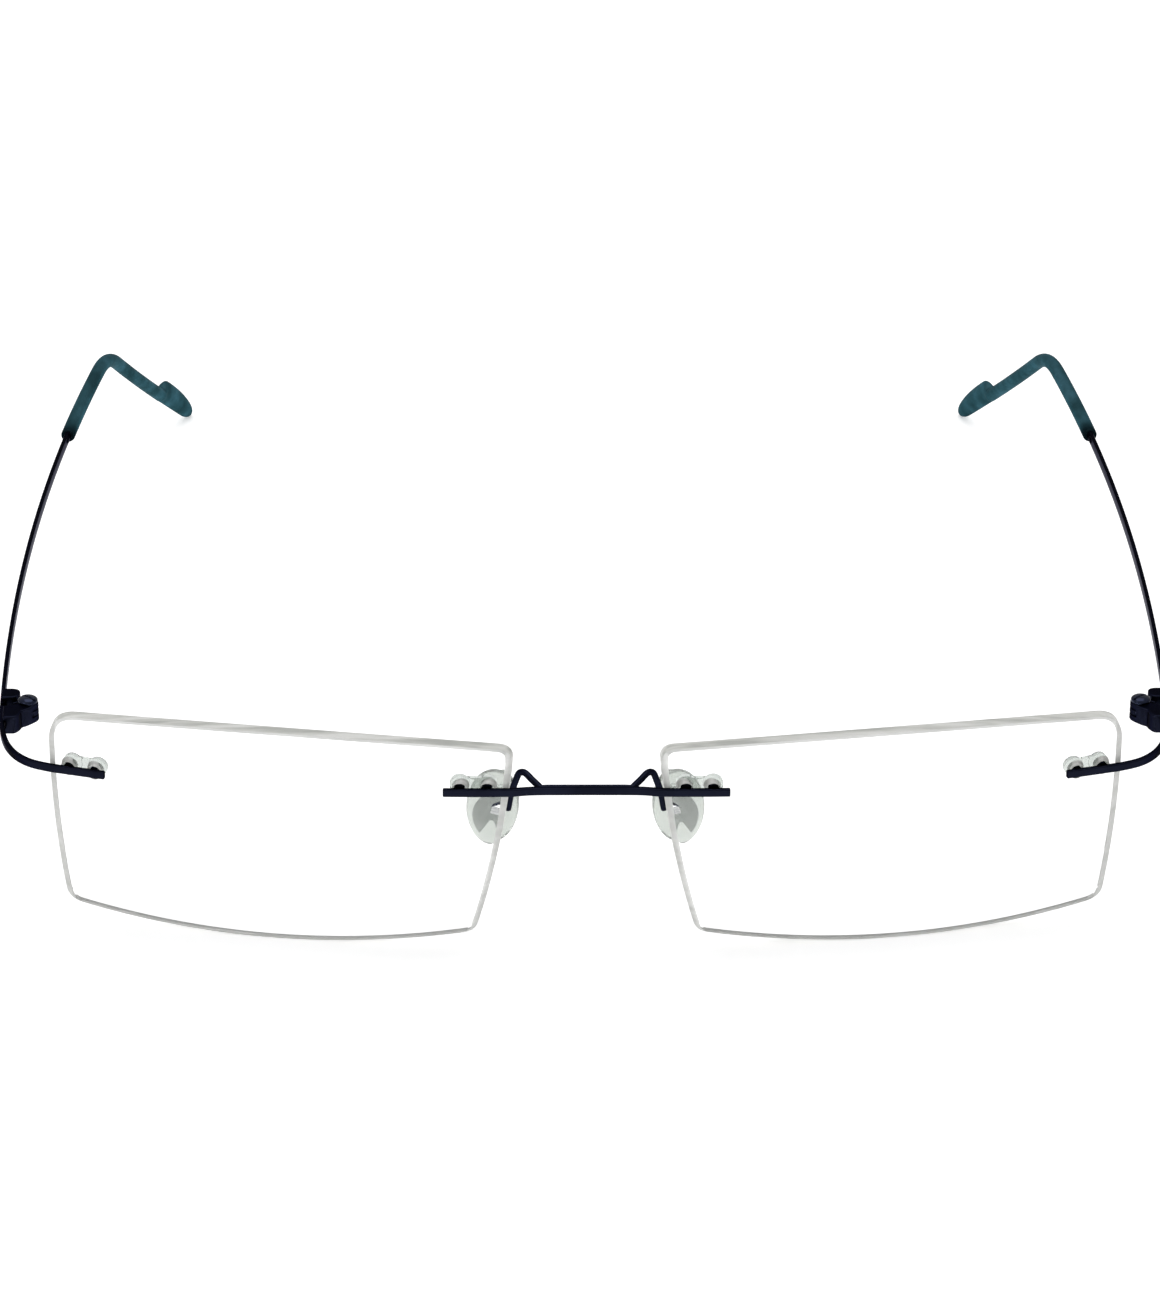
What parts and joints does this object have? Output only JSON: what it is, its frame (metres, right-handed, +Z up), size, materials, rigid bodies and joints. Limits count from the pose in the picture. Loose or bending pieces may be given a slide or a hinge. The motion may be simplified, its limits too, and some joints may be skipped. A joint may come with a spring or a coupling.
{
  "type": "rimless eyeglasses",
  "caption": "Rimless eyeglasses: clear drilled lenses held by pins in sleeves, slim metal bridge and end pieces, folding temples with plastic tips, rocking nose pads.",
  "frame": {"origin": "centre of the overall box at its lowest plane, on which the lens bottoms and the temple tips rest", "axes": "+X to the right as seen from the front, +Y back along the temples from the lenses to the tips, +Z up; left means the -X side"},
  "size_m": [0.1348, 0.1596, 0.028],
  "materials": {
    "frame": "satin dark navy coating",
    "screw": "polished dark navy coating",
    "lens": "polished clear faces, ground edge",
    "sleeve": "clear moulded plastic",
    "pad": "clear soft silicone",
    "insert": "polished",
    "tip": "satin teal plastic"
  },
  "bodies": {
    "front": {"lens_left": "lens", "lens_right": "lens", "bridge_bar": "frame", "endpiece_left": "frame", "endpiece_right": "frame", "bridge_pin_left_inner": "frame", "bridge_pin_right_inner": "frame", "endpiece_pin_left_inner": "frame", "endpiece_pin_right_inner": "frame", "bridge_pin_left_outer": "frame", "bridge_pin_right_outer": "frame", "endpiece_pin_left_outer": "frame", "endpiece_pin_right_outer": "frame", "nasal_sleeve_left": "sleeve", "nasal_sleeve_right": "sleeve", "temporal_sleeve_left": "sleeve", "temporal_sleeve_right": "sleeve", "pad_arm_left": "frame", "pad_arm_right": "frame", "pad_box_left": "frame", "pad_box_right": "frame", "pad_screw_left": "screw", "pad_screw_right": "screw", "hinge_front_left": "frame", "hinge_front_right": "frame", "hinge_screw_left": "screw", "hinge_screw_right": "screw"},
    "temple_left": {"hinge_temple_left": "frame", "temple_left": "frame", "temple_tip_left": "tip"},
    "temple_right": {"hinge_temple_right": "frame", "temple_right": "frame", "temple_tip_right": "tip"},
    "pad_left": {"pad_core_left": "insert", "nose_pad_left": "pad"},
    "pad_right": {"pad_core_right": "insert", "nose_pad_right": "pad"}
  },
  "joints": [
    {"name": "temple_left_fold", "type": "hinge", "parent": "front", "child": "temple_left", "pos_m": [-0.06312, -0.05843, 0.02105], "axis": [0, -0.0266, 0.9996], "range_deg": [-90, 0]},
    {"name": "temple_right_fold", "type": "hinge", "parent": "front", "child": "temple_right", "pos_m": [0.06312, -0.05843, 0.02105], "axis": [0, -0.0266, 0.9996], "range_deg": [0, 84]},
    {"name": "nose_pad_left_rock", "type": "hinge", "parent": "front", "child": "pad_left", "pos_m": [-0.00956, -0.07358, 0.01682], "axis": [-0.8421, 0.4396, 0.3125], "range_deg": [-8, 8]},
    {"name": "nose_pad_right_rock", "type": "hinge", "parent": "front", "child": "pad_right", "pos_m": [0.00956, -0.07358, 0.01682], "axis": [0.8421, 0.4396, 0.3125], "range_deg": [-8, 8]}
  ]
}
